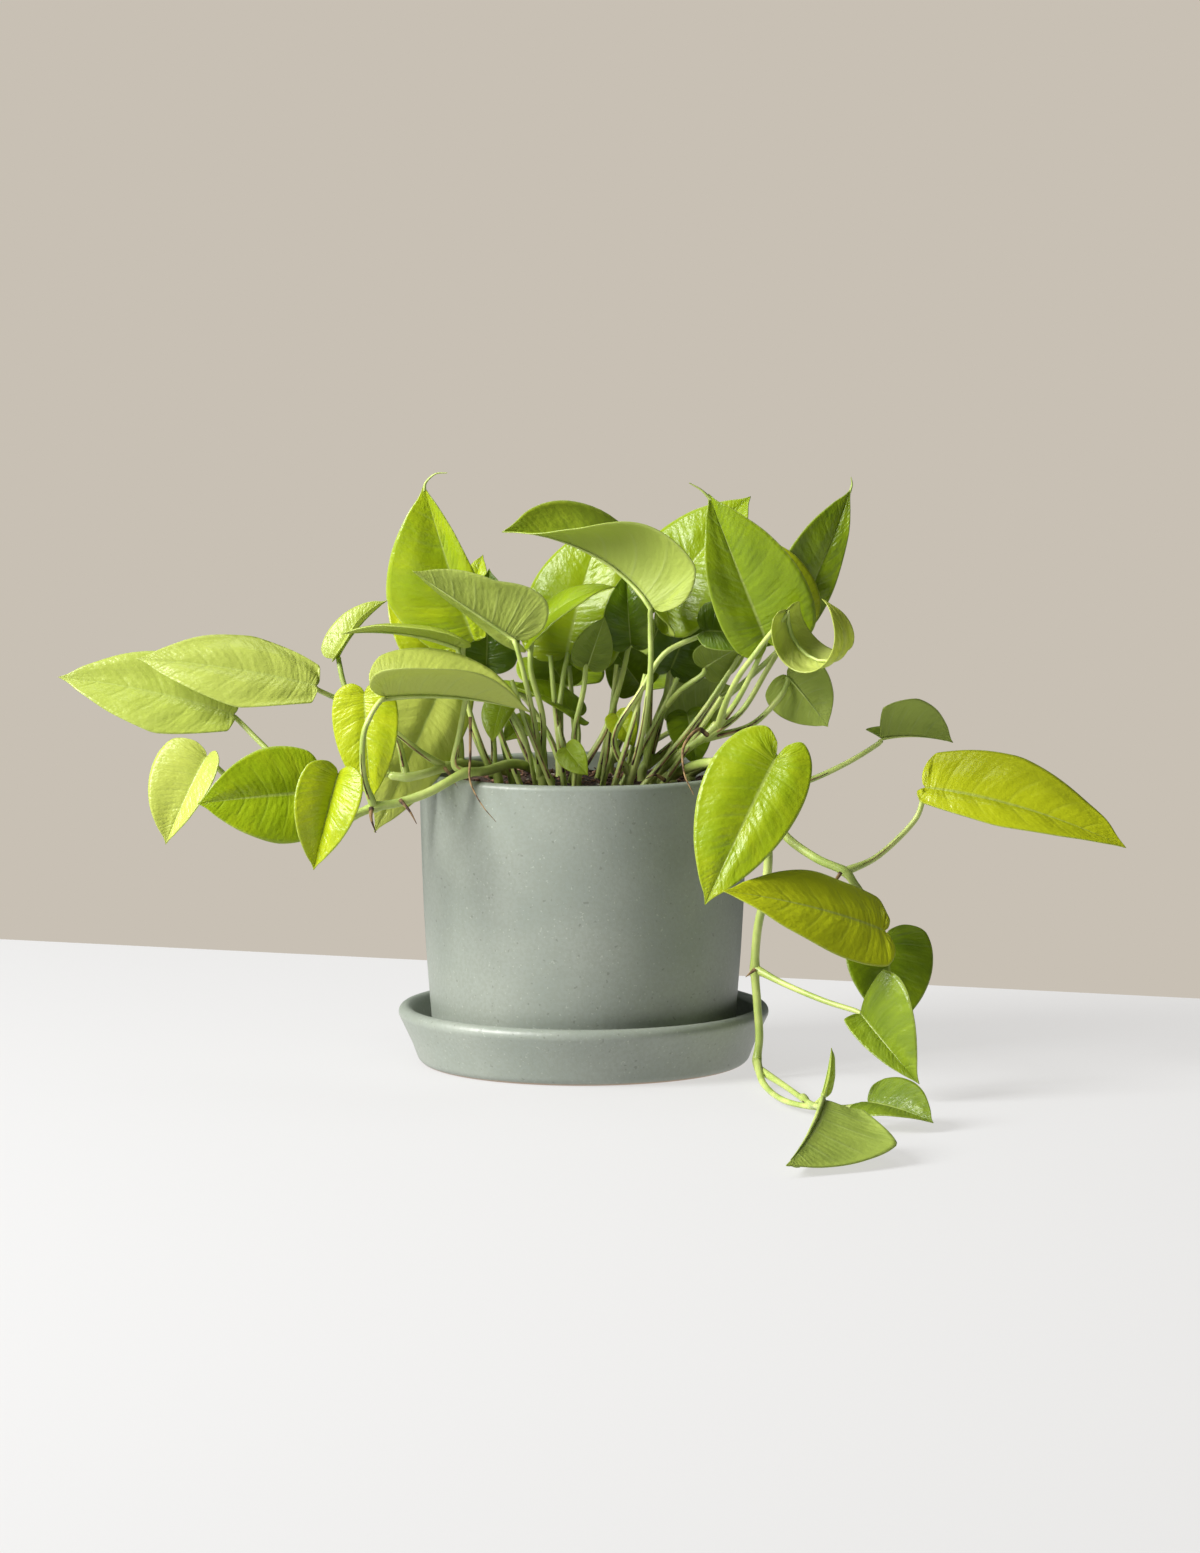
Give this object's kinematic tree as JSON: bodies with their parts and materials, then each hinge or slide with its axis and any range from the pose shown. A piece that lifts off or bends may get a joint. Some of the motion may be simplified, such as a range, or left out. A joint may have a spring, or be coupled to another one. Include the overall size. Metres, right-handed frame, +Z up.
{
  "type": "potted pothos plant",
  "caption": "Trailing golden pothos with heart-shaped lime leaves, growing from soil in a round glazed pot that stands in its own drip saucer; its vines spill over the rim.",
  "frame": {"origin": "centre of the saucer's flat underside, on the surface it stands on", "axes": "+Z up the pot's axis, +X to the right of the plant as seen from its front, -Y towards the front, where the longest vine runs out along the table"},
  "size_m": [0.4472, 0.3822, 0.249],
  "materials": {
    "glazed_clay": "satin",
    "potting_soil": "matte",
    "green_stem": "satin",
    "green_leaf": "satin"
  },
  "bodies": {
    "root": {"saucer": "glazed_clay", "pot": "glazed_clay", "soil": "potting_soil", "vine_a": "green_stem", "vine_b": "green_stem", "vine_f": "green_stem", "vine_g": "green_stem", "vine_h": "green_stem", "vine_i": "green_stem", "vine_j": "green_stem", "vine_k": "green_stem", "vine_m": "green_stem", "vine_n": "green_stem", "vine_c": "green_stem", "vine_d": "green_stem", "vine_e": "green_stem", "leaf_a1": "green_leaf", "leaf_a2": "green_leaf", "leaf_a3": "green_leaf", "leaf_a4": "green_leaf", "leaf_a5": "green_leaf", "leaf_a6": "green_leaf", "leaf_b1": "green_leaf", "leaf_b2": "green_leaf", "leaf_b3": "green_leaf", "leaf_b4": "green_leaf", "leaf_f1": "green_leaf", "leaf_f2": "green_leaf", "leaf_f3": "green_leaf", "leaf_g1": "green_leaf", "leaf_g2": "green_leaf", "leaf_g3": "green_leaf", "leaf_h1": "green_leaf", "leaf_h2": "green_leaf", "leaf_h3": "green_leaf", "leaf_i1": "green_leaf", "leaf_i2": "green_leaf", "leaf_j1": "green_leaf", "leaf_j2": "green_leaf", "leaf_j3": "green_leaf", "leaf_j4": "green_leaf", "leaf_k1": "green_leaf", "leaf_k2": "green_leaf", "leaf_k3": "green_leaf", "leaf_k4": "green_leaf", "leaf_m1": "green_leaf", "leaf_m2": "green_leaf", "leaf_n1": "green_leaf", "leaf_n2": "green_leaf", "leaf_n3": "green_leaf", "leaf_c1": "green_leaf", "leaf_c2": "green_leaf", "leaf_c3": "green_leaf", "leaf_c4": "green_leaf", "leaf_c5": "green_leaf", "leaf_d1": "green_leaf", "leaf_e1": "green_leaf", "leaf_e2": "green_leaf", "leaf_e3": "green_leaf"}
  },
  "joints": []
}
